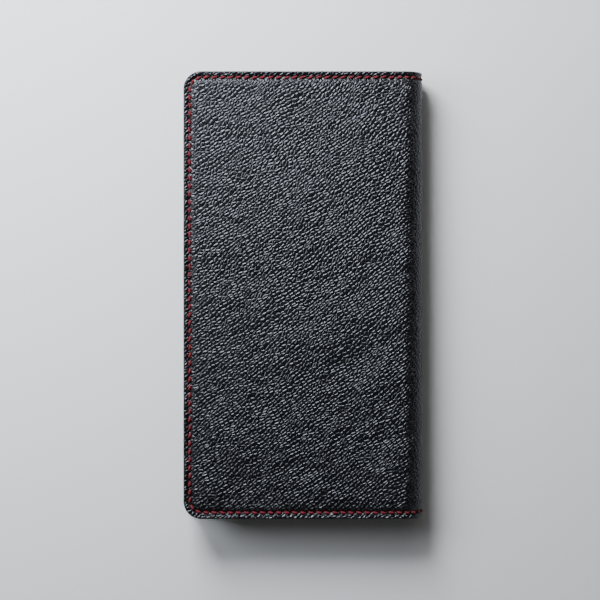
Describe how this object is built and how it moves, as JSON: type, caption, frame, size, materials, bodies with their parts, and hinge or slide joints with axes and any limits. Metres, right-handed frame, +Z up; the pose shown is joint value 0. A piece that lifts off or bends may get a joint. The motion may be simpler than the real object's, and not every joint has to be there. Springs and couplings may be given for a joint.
{
  "type": "phone wallet case",
  "caption": "Long bifold leather wallet with a gusseted phone pocket, a note pocket and card strips; the covers open flat about a rounded spine.",
  "frame": {"origin": "middle of the underside of the closed wallet, in the plane of the rear cover's outer face", "axes": "+X from the opening edge towards the spine, +Y along the height of the wallet, +Z up from the rear cover to the front cover"},
  "size_m": [0.101, 0.188, 0.0169],
  "materials": {
    "outer_leather": "pebbled",
    "lining_leather": "smooth",
    "pocket_leather": "fine grain",
    "thread": "waxed",
    "stiffener_board": "matte"
  },
  "bodies": {
    "rear_cover": {"phone_gusset": "pocket_leather", "phone_pocket_panel": "pocket_leather", "phone_pocket_thread": "thread", "rear_board": "stiffener_board", "rear_lining": "lining_leather", "rear_outer_leather": "outer_leather", "rear_seam_thread": "thread", "rear_spine_reinforcement": "stiffener_board"},
    "spine_1": {"spine_leather_1": "outer_leather", "spine_lining_1": "lining_leather", "spine_reinforcement_1": "stiffener_board", "spine_thread_1": "thread"},
    "spine_2": {"spine_leather_2": "outer_leather", "spine_lining_2": "lining_leather", "spine_reinforcement_2": "stiffener_board", "spine_thread_2": "thread"},
    "spine_3": {"spine_leather_3": "outer_leather", "spine_lining_3": "lining_leather", "spine_reinforcement_3": "stiffener_board", "spine_thread_3": "thread"},
    "front_cover": {"card_base_panel": "pocket_leather", "card_divider_thread": "thread", "card_strip_1": "pocket_leather", "card_strip_2": "pocket_leather", "card_strip_3": "pocket_leather", "card_strip_4": "pocket_leather", "front_board": "stiffener_board", "front_lining": "lining_leather", "front_outer_leather": "outer_leather", "front_seam_thread": "thread", "front_spine_reinforcement": "stiffener_board"}
  },
  "joints": [
    {"name": "opening", "type": "hinge", "parent": "rear_cover", "child": "spine_1", "pos_m": [0.04532, 0, 0.00044], "axis": [0, 1, 0], "range_deg": [0, 45]},
    {"name": "fold_2", "type": "hinge", "parent": "spine_1", "child": "spine_2", "pos_m": [0.05001, 0, 0.00513], "axis": [0, 1, 0], "range_deg": [0, 45]},
    {"name": "fold_3", "type": "hinge", "parent": "spine_2", "child": "spine_3", "pos_m": [0.05001, 0, 0.01177], "axis": [0, 1, 0], "range_deg": [0, 45]},
    {"name": "fold_4", "type": "hinge", "parent": "spine_3", "child": "front_cover", "pos_m": [0.04532, 0, 0.01646], "axis": [0, 1, 0], "range_deg": [0, 45]}
  ],
  "couplings": [
    {"joint": "fold_2", "follows": "opening", "ratio": 1},
    {"joint": "fold_3", "follows": "opening", "ratio": 1},
    {"joint": "fold_4", "follows": "opening", "ratio": 1}
  ]
}
